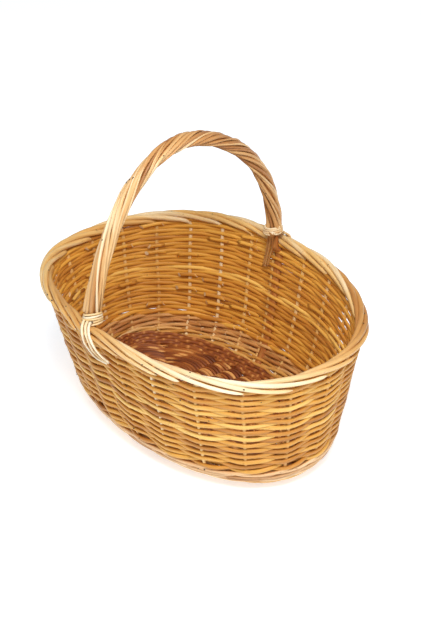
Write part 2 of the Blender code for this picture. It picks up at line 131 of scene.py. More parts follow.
T_FAR = math.pi - math.acos(min(1, (abs(X_FAR) / RIM_A) ** (RIM_N / 2)))
T_NEAR = 2 * math.pi - (math.pi - math.acos(min(1, (abs(X_NEAR) / RIM_A) ** (RIM_N / 2))))
S_FAR, S_NEAR = float(arc_of_t(T_FAR)), float(arc_of_t(T_NEAR))
PLACE = [S_FAR + (S_NEAR - S_FAR) * i / HALF for i in range(HALF)]
GAP = ROUND - S_NEAR + S_FAR
PLACE += [S_NEAR + GAP * i / HALF + 0.006 * math.sin(math.pi * i / HALF) for i in range(HALF)]
HANDLE_AT = (0, HALF)
# stake number as a continuous coordinate round the basket, over three turns
K_ALL = np.arange(-STAKES, 2 * STAKES + 1)
S_ALL = np.array([PLACE[k % STAKES] + ROUND * (k // STAKES) for k in K_ALL])


def s_of_k(k):
    return np.interp(k, K_ALL, S_ALL)


def k_of_s(s):
    return np.interp(s, S_ALL, K_ALL)


# ------------------------------------------------------------------ small tools
def smooth_path(pts, step):
    """Catmull-Rom through pts, resampled at about the given step."""
    p = np.array(pts, float)
    p = np.vstack([2 * p[0] - p[1], p, 2 * p[-1] - p[-2]])
    q = np.linspace(0, 1, 14, endpoint=False)[:, None]
    out = []
    for i in range(1, len(p) - 2):
        a, b, c, d = p[i - 1], p[i], p[i + 1], p[i + 2]
        out.append(0.5 * (2 * b + (c - a) * q + (2 * a - 5 * b + 4 * c - d) * q * q
                          + (3 * b - a - 3 * c + d) * q ** 3))
    out = np.vstack(out + [p[-2:-1]])
    s = np.r_[0, np.cumsum(np.linalg.norm(np.diff(out[:, :3], axis=0), axis=1))]
    n = max(3, int(round(s[-1] / step)))
    q = np.linspace(0, s[-1], n + 1)
    return np.stack([np.interp(q, s, out[:, k]) for k in range(out.shape[1])], 1)


def smooth_1d(x, xs, ys):
    """Smooth curve through the control values."""
    m = np.gradient(np.array(ys, float), np.array(xs, float))
    xs, ys = np.array(xs, float), np.array(ys, float)
    x = np.clip(x, xs[0], xs[-1])
    i = np.clip(np.searchsorted(xs, x, side="right") - 1, 0, len(xs) - 2)
    h = xs[i + 1] - xs[i]
    f = (x - xs[i]) / h
    return ((2 * f ** 3 - 3 * f ** 2 + 1) * ys[i] + (f ** 3 - 2 * f ** 2 + f) * h * m[i]
            + (-2 * f ** 3 + 3 * f ** 2) * ys[i + 1] + (f ** 3 - f ** 2) * h * m[i + 1])


def sway(s, rng, amp, waves):
    out = np.zeros_like(s)
    for w in waves:
        out = out + np.sin(2 * np.pi * s / w + rng.uniform(0, 6.283))
    return out * amp / len(waves)


# -------------------------------------------------------------- rods and pieces
class Rod:
    """One length of willow: rings of points along a path."""

    def __init__(self, pts, ref, rw, rh=None, sides=8, shade=0.5, pale=0.0, dark=0.0,
                 cut=(0.5, 0.5), end_pale=0.75, closed=False, seed=0, inner_shade_amount=0.0):
        rng = np.random.default_rng(seed)
        pts = np.asarray(pts, float)
        n = len(pts)
        rw = np.broadcast_to(np.asarray(rw, float), (n,)).copy()
        rh = rw.copy() if rh is None else np.broadcast_to(np.asarray(rh, float), (n,)).copy()
        ref = np.broadcast_to(np.asarray(ref, float), (n, 3))
        if closed:
            d = unit(np.roll(pts, -1, 0) - np.roll(pts, 1, 0))
        else:
            d = unit(np.gradient(pts, axis=0))
        h = unit(ref - (ref * d).sum(1, keepdims=True) * d)
        w = np.cross(d, h)
        s = np.r_[0, np.cumsum(np.linalg.norm(np.diff(pts, axis=0), axis=1))]
        lump = 1 + sway(s, rng, 0.05, (0.021, 0.043, 0.095))
        rw, rh = rw * lump, rh * lump
        turn = rng.uniform(0, 6.283)
        ang = 2 * np.pi * (np.arange(sides) + 0.5) / sides
        c, sn = np.cos(ang), np.sin(ang)
        ring = (pts[:, None] + w[:, None] * (rw[:, None] * c)[..., None]
                + h[:, None] * (rh[:, None] * sn)[..., None])
        if not closed:
            for at, dirn, slope in ((0, -1, cut[0]), (n - 1, 1, cut[1])):
                lean = np.cos(ang - turn)
                ring[at] += d[at] * (dirn * slope * rw[at] * lean)[:, None]
                inner = 1 if at == 0 else n - 2
                room = np.linalg.norm(pts[inner] - pts[at])
                if slope * rw[at] > 0.7 * room:
                    ring[at] = (pts[at] + w[at] * (rw[at] * c)[:, None] + h[at] * (rh[at] * sn)[:, None]
                                + d[at] * (dirn * 0.6 * room * lean)[:, None])
        self.ring, self.s, self.sides, self.closed = ring, s, sides, closed
        far = rng.uniform(0, 40.0)
        self.pos = np.stack([np.broadcast_to(s[:, None] + far, ring.shape[:2]),
                             rw[:, None] * c + rng.uniform(-9, 9),
                             rh[:, None] * sn + rng.uniform(-9, 9)], -1)
        self.shade = np.broadcast_to(shade, (n,))
        self.pale = np.broadcast_to(pale, (n,))
        self.dark = np.broadcast_to(dark, (n,))
        self.end_pale = end_pale
        self.girth = 2 * np.pi * float(max(rw.max(), rh.max()))
        # painted shade mask: how far each ring point faces in towards the middle of the basket, times the rod's share
        # of painted inner shade
        side = unit(ring - pts[:, None])
        away = unit(np.stack([pts[:, 0] / RIM_A ** 2, pts[:, 1] / RIM_B ** 2, 0 * pts[:, 0]], -1))
        self.inner = np.clip(0.45 - 0.9 * (side * away[:, None]).sum(-1), 0, 1) * inner_shade_amount
        self.d, self.h, self.w, self.pts, self.rw, self.rh = d, h, w, pts, rw, rh

    def bud(self, s, ang, size=0.00075):
        """A small dark bud scar on the bark."""
        i = int(np.clip(np.searchsorted(self.s, s), 1, len(self.s) - 2))
        v = self.w[i] * math.cos(ang) + self.h[i] * math.sin(ang)
        p = self.pts[i] + self.w[i] * math.cos(ang) * self.rw[i] + self.h[i] * math.sin(ang) * self.rh[i]
        path = [p - v * 0.0006, p + v * size * 0.10, p + v * size * 0.38 + self.d[i] * size * 0.25,
                p + v * size * 0.50 + self.d[i] * size * 0.4]
        return Rod(path, self.d[i], np.array([1.0, 1.0, 0.62, 0.15]) * size,
                   np.array([1.5, 1.5, 0.9, 0.2]) * size, sides=6, shade=0.1, dark=1.0,
                   cut=(0, 0), end_pale=0.0, seed=i)


def pack_strips(rods):
    """Lays every rod out flat in strips on one square sheet."""
    area = sum((r.s[-1] + 3 * r.girth) * r.girth for r in rods)
    side = math.sqrt(area) * 1.10
    while True:
        width = 0.48 * side
        gap = side * 0.0035
        cols, y, col = 2, gap, 0
        plan, ok = [], True
        order = sorted(range(len(rods)), key=lambda q: -rods[q].girth)
        x = gap
        line_h = 0.0
        for q in order:
            r = rods[q]
            n = len(r.s)
            total = n if r.closed else n - 1
            lens = np.r_[r.s, r.s[-1] + (np.linalg.norm(r.pts[0] - r.pts[-1]) if r.closed else 0)]
            i = 0
            cap = r.girth / math.pi + gap
            while i < total:
                j = i + 1
                extra = (cap if (i == 0 and not r.closed) else 0)
                while j < total and lens[j + 1] - lens[i] + extra + cap < width - 2 * gap:
                    j += 1
                need = lens[j] - lens[i] + extra + (cap if (j == total and not r.closed) else 0)
                if x + need > width - gap or line_h == 0:
                    y += line_h + (gap if line_h else 0)
                    x, line_h = gap, r.girth
                    if y + line_h > side - gap:
                        col += 1
                        y = gap
                        if col >= cols:
                            ok = False
                            break
                plan.append((q, i, j, (col * 0.5 * side) + x + extra, y,
                             (col * 0.5 * side) + x + extra * 0.5 - gap * 0.5 if extra else None,
                             (col * 0.5 * side) + x + extra + lens[j] - lens[i] + cap * 0.5 + gap * 0.5
                             if (j == total and not r.closed) else None))
                x += need + gap
                line_h = max(line_h, r.girth)
                i = j
            if not ok:
                break
        if ok:
            return side, plan
        side *= 1.04


def build(name, rods, mat):
    side, plan = pack_strips(rods)
    start, verts, pos = [], [], []
    count = 0
    for r in rods:
        start.append(count)
        verts.append(r.ring.reshape(-1, 3))
        pos.append(r.pos.reshape(-1, 3))
        count += r.ring.shape[0] * r.sides
    verts, pos = np.vstack(verts), np.vstack(pos)
    faces, uv, tone, flat = [], [], [], []
    for q, i, j, x0, y0, cap0, cap1 in plan:
        r = rods[q]
        m, n, b = r.sides, len(r.s), start[q]
        lens = np.r_[r.s, r.s[-1] + (np.linalg.norm(r.pts[0] - r.pts[-1]) if r.closed else 0)]
        a = np.arange(i, j)
        k = np.arange(m)
        A, K = np.meshgrid(a, k, indexing="ij")
        nxt = (A + 1) % n
        k2 = (K + 1) % m
        f = np.stack([b + A * m + K, b + A * m + k2, b + nxt * m + k2, b + nxt * m + K], -1).reshape(-1, 4)
        u0 = (x0 + lens[A] - lens[i]) / side
        u1 = (x0 + lens[A + 1] - lens[i]) / side
        v0 = (y0 + K * r.girth / m) / side
        v1 = (y0 + (K + 1) * r.girth / m) / side
        faces.append(f)
        uv.append(np.stack([np.stack([u0, v0], -1), np.stack([u0, v1], -1),
                            np.stack([u1, v1], -1), np.stack([u1, v0], -1)], -2).reshape(-1, 2))
        one = np.stack([r.shade, r.pale, r.dark], -1)
        col = np.stack([one[A], one[A], one[nxt], one[nxt]], -2).reshape(-1, 3)
        inn = np.stack([r.inner[A, K], r.inner[A, k2], r.inner[nxt, k2], r.inner[nxt, K]], -1).reshape(-1, 1)
        tone.append(np.hstack([col, inn]))
        flat.append(np.ones(len(f), bool))
        for cap, ringno, rev in ((cap0, 0, True), (cap1, n - 1, False)):
            if cap is None:
                continue
            ids = b + ringno * m + (k[::-1] if rev else k)
            ang = 2 * np.pi * (k[::-1] if rev else k) / m
            rad = r.girth / (2 * math.pi) * 0.92
            cy = y0 + r.girth * 0.5
            faces.append(ids[None])
            uv.append(np.stack([(cap + rad * np.cos(ang)) / side, (cy + rad * np.sin(ang)) / side], -1))
            tone.append(np.tile([r.shade[ringno], r.end_pale if r.end_pale else 0.0,
                                 r.dark[ringno], 0.0], (m, 1)))
            flat.append(np.zeros(1, bool))
    me = bpy.data.meshes.new(name)
    sizes = np.concatenate([np.full(len(f), f.shape[1]) for f in faces])
    loops = np.concatenate([f.reshape(-1) for f in faces])
    me.vertices.add(len(verts))
    me.vertices.foreach_set("co", verts.astype(np.float32).ravel())
    me.loops.add(len(loops))
    me.loops.foreach_set("vertex_index", loops.astype(np.int32))
    me.polygons.add(len(sizes))
    me.polygons.foreach_set("loop_start", np.r_[0, np.cumsum(sizes)[:-1]].astype(np.int32))
    me.update(calc_edges=True)
    me.polygons.foreach_set("use_smooth", np.concatenate(flat))
    layer = me.uv_layers.new(name="OFBake")
    layer.data.foreach_set("uv", np.vstack(uv).astype(np.float32).ravel())
    at = me.attributes.new("rodpos", "FLOAT_VECTOR", "POINT")
    at.data.foreach_set("vector", pos.astype(np.float32).ravel())
    at = me.color_attributes.new("rodtone", "FLOAT_COLOR", "CORNER")
    at.data.foreach_set("color", np.vstack(tone).astype(np.float32).ravel())
    me.materials.append(mat)
    me.validate()
    me.update()
    ob = bpy.data.objects.new(name, me)
    bpy.context.scene.collection.objects.link(ob)
    return ob


def place(name, rods, mat, slot, *nodes):
    ob = build(name, rods, mat)
    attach(ob, "root")
    if nodes:
        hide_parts(*nodes)
    return ob


# -------------------------------------------------------------------- materials
def willow(name, stops, cream, brown, rough=0.42, shine=0.18, streak=0.5,
           inner_shade_tint=(1.15, 1.10, 0.90)):
    """Varnished willow: each rod has its own colour, with long grain streaks,
    slow blotches, fine flecks, a soft gloss and painted shade on the faces turned inwards."""
    m = bpy.data.materials.new(name)
    m.use_nodes = True
    nt = m.node_tree
    nt.nodes.clear()
    N, L = nt.nodes.new, nt.links.new

    def math_node(op, a, b=None, clamp=False):
        n = N("ShaderNodeMath")
        n.operation, n.use_clamp = op, clamp
        for i, v in enumerate((a, b)):
            if v is None:
                continue
            if isinstance(v, (int, float)):
                n.inputs[i].default_value = v
            else:
                L(v, n.inputs[i])
        return n.outputs[0]

    def noise(vec, scale, detail, rough_=0.55):
        mp = N("ShaderNodeVectorMath")
        mp.operation = "MULTIPLY"
        L(vec, mp.inputs[0])
        mp.inputs[1].default_value = scale
        n = N("ShaderNodeTexNoise")
        n.inputs["Scale"].default_value = 1.0
        n.inputs["Detail"].default_value = detail
        n.inputs["Roughness"].default_value = rough_
        L(mp.outputs[0], n.inputs["Vector"])
        return n.outputs["Fac"]

    def mix(fac, a, b, blend="MIX"):
        n = N("ShaderNodeMix")
        n.data_type, n.blend_type = "RGBA", blend
        n.clamp_factor = True
        if isinstance(fac, (int, float)):
            n.inputs[0].default_value = fac
        else:
            L(fac, n.inputs[0])
        for i, v in ((6, a), (7, b)):
            if isinstance(v, tuple):
                n.inputs[i].default_value = (*v, 1.0)
            else:
                L(v, n.inputs[i])
        return n.outputs[2]

    def ramp(fac, stops_):
        n = N("ShaderNodeValToRGB")
        e = n.color_ramp.elements
        while len(e) < len(stops_):
            e.new(0.5)
        for el, (p, c) in zip(e, stops_):
            el.position = p
            el.color = (*c, 1.0) if isinstance(c, tuple) else (c, c, c, 1.0)
        L(fac, n.inputs[0])
        return n.outputs[0]

    pos = N("ShaderNodeAttribute")
    pos.attribute_name = "rodpos"
    vec = pos.outputs["Vector"]
    tn = N("ShaderNodeAttribute")
    tn.attribute_name = "rodtone"
    sep = N("ShaderNodeSeparateColor")
    L(tn.outputs["Color"], sep.inputs[0])
    shade, pale, dark = sep.outputs[0], sep.outputs[1], sep.outputs[2]
    inner_shade_mask = tn.outputs["Alpha"]

    grain = noise(vec, (28.0, 1500.0, 1500.0), 3.0, 0.6)
    fine = noise(vec, (110.0, 3800.0, 3800.0), 2.0)
    slow = noise(vec, (11.0, 130.0, 130.0), 2.0)
    patch = noise(vec, (46.0, 300.0, 300.0), 2.0)

    mixv = math_node("ADD", shade, math_node("MULTIPLY", math_node("SUBTRACT", slow, 0.5), 0.85))
    mixv = math_node("ADD", mixv, math_node("MULTIPLY", math_node("SUBTRACT", patch, 0.5), 0.35), clamp=True)
    col = ramp(mixv, stops)
    line = ramp(grain, [(0.30, 0.66), (0.46, 0.95), (0.60, 1.0), (0.74, 1.12)])
    col = mix(streak, col, line, "MULTIPLY")
    thin = ramp(fine, [(0.36, 0.80), (0.5, 1.0), (0.8, 1.06)])
    col = mix(0.55, col, thin, "MULTIPLY")
    # small brown flecks and leaf scars
    mp = N("ShaderNodeVectorMath")
    mp.operation = "MULTIPLY"
    L(vec, mp.inputs[0])
    mp.inputs[1].default_value = (95.0, 330.0, 330.0)
    vo = N("ShaderNodeTexVoronoi")
    vo.inputs["Scale"].default_value = 1.0
    L(mp.outputs[0], vo.inputs["Vector"])
    fleck = ramp(vo.outputs["Distance"], [(0.0, 1.0), (0.085, 0.9), (0.15, 0.0)])
    some = ramp(noise(vec, (31.0, 90.0, 90.0), 0.0), [(0.52, 0.0), (0.60, 1.0)])
    col = mix(math_node("MULTIPLY", math_node("MULTIPLY", fleck, some), 0.75), col, brown)
    # painted shade: the faces turned in towards the inside of the basket are painted a deeper orange, darker on the
    # border and wale willow
    col = mix(inner_shade_mask, col, mix(1.0, col, inner_shade_tint, "MULTIPLY"))
    # peeled cut ends are lighter, and the painted highlight on the front of the border is mixed towards cream here
    # too; buds and sooty knots darker
    col = mix(math_node("MULTIPLY", pale, 0.85), col, cream)
    col = mix(dark, col, (0.035, 0.016, 0.008))

    b = N("ShaderNodeBsdfPrincipled")
    L(col, b.inputs["Base Color"])
    L(math_node("ADD", rough - 0.08, math_node("MULTIPLY", math_node("ADD", grain, patch), 0.16)),
      b.inputs["Roughness"])
    b.inputs["Specular IOR Level"].default_value = 0.37
    b.inputs["Coat Weight"].default_value = shine
    b.inputs["Coat Roughness"].default_value = 0.28
    h = math_node("ADD", math_node("MULTIPLY", grain, 0.7), math_node("MULTIPLY", patch, 0.6))
    h = math_node("ADD", h, math_node("MULTIPLY", fine, 0.25))
    bump = N("ShaderNodeBump")
    bump.inputs["Strength"].default_value = 0.55
    bump.inputs["Distance"].default_value = 0.0006
    L(h, bump.inputs["Height"])
    L(bump.outputs[0], b.inputs["Normal"])
    out = N("ShaderNodeOutputMaterial")
    L(b.outputs[0], out.inputs["Surface"])
    return m


GOLD = [(0.0, (0.36, 0.127, 0.018)), (0.30, (0.58, 0.246, 0.035)), (0.62, (0.72, 0.362, 0.060)),
        (1.0, (0.86, 0.53, 0.14))]
# paler willow for the stakes and border; its cream top end also serves as a painted highlight where the border is
# brightest
PALE = [(0.0, (0.52, 0.230, 0.055)), (0.30, (0.72, 0.392, 0.112)), (0.62, (0.86, 0.562, 0.212)),
        (1.0, (0.97, 0.84, 0.61))]
ROSY = [(0.0, (0.48, 0.225, 0.080)), (0.30, (0.69, 0.385, 0.165)), (0.62, (0.82, 0.54, 0.28)),
        (1.0, (0.92, 0.72, 0.48))]
AMBER = [(0.0, (0.40, 0.165, 0.048)), (0.30, (0.58, 0.285, 0.092)), (0.62, (0.76, 0.47, 0.20)),
         (1.0, (0.93, 0.76, 0.50))]
# painted shade: a darker, redder copy of the willow colours for the base, standing in for the shade inside the basket,
# and for the bow core, so the gaps between handle strands read dark
SHADED_BROWN = [(0.0, (0.10, 0.022, 0.005)), (0.35, (0.24, 0.058, 0.011)), (0.7, (0.42, 0.130, 0.023)),
         (1.0, (0.78, 0.38, 0.11))]
m_weave = willow("willow_weave", GOLD, (0.86, 0.70, 0.46), (0.22, 0.09, 0.03), 0.44, 0.12)
m_stake = willow("willow_border", PALE, (0.94, 0.84, 0.66), (0.28, 0.13, 0.05), 0.38, 0.22,
                 inner_shade_tint=(0.88, 0.70, 0.46))
m_wrap = willow("willow_handle", AMBER, (0.90, 0.78, 0.55), (0.26, 0.11, 0.04), 0.36, 0.22, 0.75)
m_wale = willow("willow_wale", ROSY, (0.86, 0.70, 0.46), (0.24, 0.10, 0.04), 0.46, 0.08,
                inner_shade_tint=(0.86, 0.66, 0.40))
m_base = willow("willow_base", SHADED_BROWN, (0.70, 0.50, 0.28), (0.14, 0.06, 0.03), 0.50, 0.06)
m_core = willow("bow_wood", SHADED_BROWN, (0.70, 0.50, 0.28), (0.16, 0.07, 0.03), 0.52, 0.05)


# ---------------------------------------------------------------- side weaving
def row_limits(t):
    lo = ROW_Z0 / rim_z(t)
    hi = 1 - ROW_DROP / rim_z(t)
    return lo, hi


def shared_lift(s, j):
    """Slow rise and fall that neighbouring rows share."""
    q = 2 * np.pi * s / ROUND
    fade = min(1.0, (j + 0.3) / 8, (ROWS - j) / 3)
    return fade * (0.0011 * np.sin(3 * q + 0.13 * j) + 0.0008 * np.sin(7 * q - 0.17 * j + 1.1)
                   + 0.0003 * np.sin(17 * q + 0.5 * j))


def turn_at(t):
    """0 along the long front, 1 along the long back, with the flat cosine."""
    o = out_flat(t)
    face = -0.809 * o[..., 0] + 0.588 * o[..., 1]
    w = np.clip((face + 0.15) / 0.45, 0, 1)
    return w * w * (3 - 2 * w), face, o


def tilt_at(t, u):
    """How far the rows lean: they lie flatter where the wall turns away."""
    _, nn, up = wall_dirs(t, u)
    w, face, o = turn_at(t)
    lean = (up * o).sum(-1) / up[..., 2]
    inner = 0.53 / np.clip(face, 0.66, 1.0) - lean
    return TILT * (1 - w) + np.clip(inner, 0.12, 0.62) * w


def row_rods(j):
    rng = np.random.default_rng(4100 + j)
    inside = [i for i in range(STAKES) if (i + j) % 2 == 1 and i not in HANDLE_AT]
    first = inside[int(rng.integers(0, 4))]
    n_rods = int(rng.integers(2, 4))
    cuts = [first]
    for q in range(1, n_rods):
        want = first + STAKES * q / n_rods + rng.uniform(-1.6, 1.6)
        cuts.append(min((i + STAKES * w for w in (0, 1) for i in inside), key=lambda v: abs(v - want)))
    cuts.append(first + STAKES)
    rods = []
    for q in range(n_rods):
        k0, k1 = cuts[q], cuts[q + 1]
        if k1 - k0 < 2:
            continue
        e0, e1 = rng.uniform(0.16, 0.26), rng.uniform(0.20, 0.50)
        s0, s1 = s_of_k(k0) - 0.045 * e0, s_of_k(k1) + 0.045 * e1
        n = max(8, int((s1 - s0) / 0.0036))
        s = np.linspace(s0, s1, n)
        t = t_of_arc(s)
        k = k_of_s(s)
        lo, hi = row_limits(t)
        u = lo + (hi - lo) * (j + 0.5) / ROWS
        amp = 0.0022 * (1 + sway(s, rng, 0.20, (0.071, 0.046, 0.13)))
        for hnd in HANDLE_AT:
            for w in (-STAKES, 0, STAKES):
                amp += 0.0017 * np.exp(-((k - hnd - w) / 0.42) ** 2)
        wave = np.cos(np.pi * (k + j))
        wave = 0.46 * wave + 0.54 * (1 - 2 * np.arccos(np.clip(wave, -1, 1)) / np.pi)
        off = amp * wave + sway(s, rng, 0.0003, (0.09, 0.037, 0.17))
        # rod ends lie on the inside and stand off a little
        a_end = np.clip(1 - (s - s0) / 0.016, 0, 1)
        b_end = np.clip(1 - (s1 - s) / 0.020, 0, 1)
        tip_out = rng.uniform(0.0012, 0.0040)
        lift = shared_lift(s, j) - tilt_at(t, u) * off + sway(s, rng, 0.00030, (0.12, 0.066, 0.21, 0.034)) \
            + 0.0010 * b_end * rng.uniform(-0.6, 1.3) - 0.0006 * a_end
        off = off - 0.0012 * a_end - tip_out * b_end - 0.0012 * np.clip(1 - (s1 - s) / 0.04, 0, 1)
        loose = 1 - turn_at(t)[0]
        lift = lift + loose * sway(s, rng, 0.00045, (0.031, 0.052, 0.085))
        _, nn, up = wall_dirs(t, u)
        pts = wall(t, u) + nn * off[:, None] + up * lift[:, None]
        x = (s - s0) / (s1 - s0)
        big = rng.uniform(0.00266, 0.00290)
        small = big - rng.uniform(0.0, 0.0003)
        r = big + (small - big) * (x if rng.random() < 0.5 else 1 - x)
        r = r * (0.91 + 0.09 * wave) * (1 + loose * sway(s, rng, 0.11, (0.043, 0.091, 0.17)))
        flat = rng.uniform(0.60, 0.74)
        shade = np.clip(rng.normal(0.50, 0.17), 0.05, 1.0) + 0.16 * (x - 0.5)
        rod = Rod(pts, nn, r, r * flat, sides=8, shade=np.clip(shade, 0, 1),
                  cut=(0.7, 0.9), end_pale=rng.uniform(0.5, 1.0), seed=j * 10 + q, inner_shade_amount=0.9)
        rods.append(rod)
        for _ in range(int(rng.integers(0, 3))):
            rods.append(rod.bud(rng.uniform(0.03, s1 - s0 - 0.03), rng.uniform(0, 6.28),
                                rng.uniform(0.00045, 0.00075)))
    return rods


# ------------------------------------------------------------ stakes and border
BX = [0.02, 0.15, 0.50, 1.00, 1.50, 2.00, 2.50, 3.00, 3.50, 4.00, 4.35]
BO = [-1.0, -3.8, -4.7, -4.3, -2.7, -0.2, 2.4, 4.3, 5.2, 4.7, 3.5]
BZ = [-8.6, -5.0, -2.5, 0.6, 3.0, 4.0, 3.1, 0.9, -1.9, -4.6, -6.6]


def stake_rods(i):
    rng = np.random.default_rng(700 + i)
    s_here = s_of_k(i)
    shift = LEG_W + CLEAR + 0.0008 if i in HANDLE_AT else 0.0
    pts, ref, rad = [], [], []
    z_foot = 0.0069
    # foot inside the base edge, bend, then up the wall
    t0 = t_of_arc(s_here + shift)
    o = out_flat(t0)
    inner = base_line(np.asarray(t0), -0.0124)
    q = wall(t0, z_foot / rim_z(t0))
    for f in (0.0, 0.5):
        pts.append(np.array([inner[0] * (1 - f) + q[0] * f, inner[1] * (1 - f) + q[1] * f, z_foot]))
        ref.append(UP)
        rad.append(STAKE_R)
    pts.append(q - o * 0.0022 + UP * 0.0006)
    ref.append(unit(UP - 0.4 * o))
    rad.append(STAKE_R)
    us = np.linspace(0.10, 0.925, 22)
    tt = t_of_arc(s_here + shift + sway(us, rng, 0.0007, (0.9, 0.47)))
    pw = wall(tt, us)
    _, nn, _ = wall_dirs(tt, us)
    for a, b in zip(pw, nn):
        pts.append(a)
        ref.append(-b)
        rad.append(STAKE_R * 0.95)
    wig = rng.uniform(-0.0005, 0.0005, 2)
    end = 3.98 + rng.uniform(-0.34, 0.28)
    big = rng.uniform(0.00255, 0.00300)
    xs = np.linspace(0.03, end, 60)
    s = s_of_k(i + xs) + shift * np.clip(1 - xs, 0, 1)
    t = t_of_arc(s)
    c, o = rim_centre(t), out_flat(t)
    bo = smooth_1d(xs, BX, BO) * 1e-3 + wig[0] * np.sin(xs * 2.1)
    bz = smooth_1d(xs, BX, BZ) * 1e-3 + wig[1] * np.sin(xs * 1.7 + 1)
    rr = smooth_1d(xs, [0, 0.3, 1.0, 1.7, 2.4, 3.0, 4.3], [0.72, 0.92, 1.00, 1.06, 0.98, 0.80, 0.58]) * big
    near_leg = sum(np.exp(-((i + xs - q) / 0.40) ** 2) for q in (-HALF, 0, HALF, STAKES, STAKES + HALF))
    bo = bo + 0.0020 * near_leg * np.clip(xs / 0.6, 0, 1)
    bz = bz - 0.0024 * near_leg * np.clip(xs / 0.6, 0, 1)
    rr = rr * (0.28 + 0.72 * np.clip((end - xs) / 0.14, 0, 1) ** 0.6)
    pb = c + o * bo[:, None] + UP * bz[:, None]
    refb = unit(o * (bo + 0.0)[:, None] + UP * (bz + 0.004)[:, None])
    path = smooth_path(np.hstack([np.vstack([np.array(pts), pb]),
                                  np.vstack([np.array(ref), refb]),
                                  np.r_[rad, rr][:, None]]), 0.0030)
    # painted highlight: one stretch of the border at the front, which faces the lamps, is painted paler and mixed
    # towards cream
    way = np.r_[0, np.cumsum(np.linalg.norm(np.diff(path[:, :3], axis=0), axis=1))]
    place_k = i + np.clip((way - way[-1]) / 0.0487 + end, 0, None)
    painted_front_highlight = np.exp(-(((place_k - 15.4 + 12) % STAKES - 12) / 2.1) ** 2) * np.clip(place_k - i + 0.15, 0.15, 1)
    # painted shade: a stretch of the border further round to the right is painted darker
    painted_right_shade = np.exp(-(((place_k - 20.0 + 12) % STAKES - 12) / 1.6) ** 2)
    own = np.clip(rng.normal(0.55, 0.20), 0.1, 1)
    shade = np.clip(own + (0.92 - own) * 0.72 * painted_front_highlight - 0.16 * painted_right_shade, 0, 1)
    rod = Rod(path[:, :3], path[:, 3:6], path[:, 6], sides=9, shade=shade, pale=0.40 * painted_front_highlight,
              cut=(0.2, 1.3), end_pale=0.9, seed=900 + i, inner_shade_amount=0.35)
    out = [rod]
    total = rod.s[-1]
    for _ in range(int(rng.integers(1, 4))):
        out.append(rod.bud(rng.uniform(total - 0.12, total - 0.01), rng.uniform(0, 6.28),
                           rng.uniform(0.0006, 0.0009)))
    return out


for g in range(4):
    rods, nodes = [], []
    for i in range(g * 6, g * 6 + 6):
        rods += stake_rods(i)
        nodes.append("stake_%02d" % (i + 1))
    place("stakes_border_%02d" % (g + 1), rods, m_stake, "willow_pale", *nodes)


# --------------------------------------------------------------- foot and wales
def wale(z0, hz, r, seed, amp, phase=0.0, grow=0.0, step=3, count=3, tone=0.45):
    """One round of waling: each rod goes out over two stakes, in behind one."""
    rods = []
    for m in range(count):
        rng = np.random.default_rng(seed + m)
        k = np.linspace(m + phase, m + phase + STAKES + 0.55, 420)
        s = s_of_k(k)
        t = t_of_arc(s)
        f = (k - m - phase) % float(step)
        if step == 3:
            wave = smooth_1d(f, [0, 0.5, 1.0, 1.5, 2.0, 2.5, 3.0], [-1, 0.0, 0.92, 1.12, 0.92, 0.0, -1])
            bob = smooth_1d(f, [0, 0.5, 1.5, 2.5, 3.0], [0.0, -1.0, 0.0, 1.0, 0.0])
        else:
            wave = -np.cos(np.pi * f)
            bob = -np.sin(np.pi * f)
        z = z0 + hz * bob + sway(s, rng, 0.0004, (0.11, 0.27, 0.06)) - TILT * 0.6 * amp * wave
        x = (k - k[0]) / (k[-1] - k[0])
        u = z / rim_z(t)
        _, nn, up = wall_dirs(t, np.maximum(u, 0.021))
        pts = wall(t, u) + nn * (amp * wave + grow)[:, None]
        big = r * rng.uniform(0.93, 1.08) * (1.06 - 0.14 * x)
        pts[:, 2] = np.maximum(pts[:, 2], big * 0.98)
        rod = Rod(pts, nn, big, big * 0.9, sides=8, shade=np.clip(rng.normal(tone, 0.18), 0.1, 1),
                  pale=0.0, cut=(0.6, 0.8), seed=seed * 3 + m, inner_shade_amount=1.7)
        rods.append(rod)
        for _ in range(3):
            rods.append(rod.bud(rng.uniform(0.05, 0.8), rng.uniform(0.2, 2.9), rng.uniform(0.0005, 0.0008)))
    return rods


place("foot_wale", wale(0.0038, 0.0017, 0.0022, 51, 0.0020, 0.3, -0.0022), m_stake, "willow_pale", "foot_ring")
place("outer_wale", wale(0.0094, 0.0018, 0.0021, 57, 0.0026, 1.1, -0.0010) + wale(0.0146, 0.0018, 0.0021, 61, 0.0030, 2.0, -0.0003),
      m_stake, "willow_pale", "upsett_wale_outer")

# thin wales above the foot, then the single rows up to the border
thin = (wale(0.0195, 0.0016, 0.0021, 67, 0.0034, 0.4, 0.0, 3, 3, 0.36) + wale(0.0241, 0.0016, 0.0020, 71, 0.0034, 1.5, 0.0, 3, 3, 0.36)
        + wale(0.0287, 0.0016, 0.0021, 77, 0.0033, 0.9, 0.0, 3, 3, 0.36))
place("side_rows_01", thin, m_wale, "willow_pale", "side_weave_01")
edges = np.linspace(0, ROWS, 8).round().astype(int)
for g in range(7):
    rods = wale(0.0336, 0.0016, 0.0024, 83, 0.0032, 0.2, step=2, count=2) if g == 0 else []
    for j in range(edges[g], edges[g + 1]):
        rods += row_rods(j)
    place("side_rows_%02d" % (g + 2), rods, m_weave, "willow_rod", "side_weave_%02d" % (g + 2))


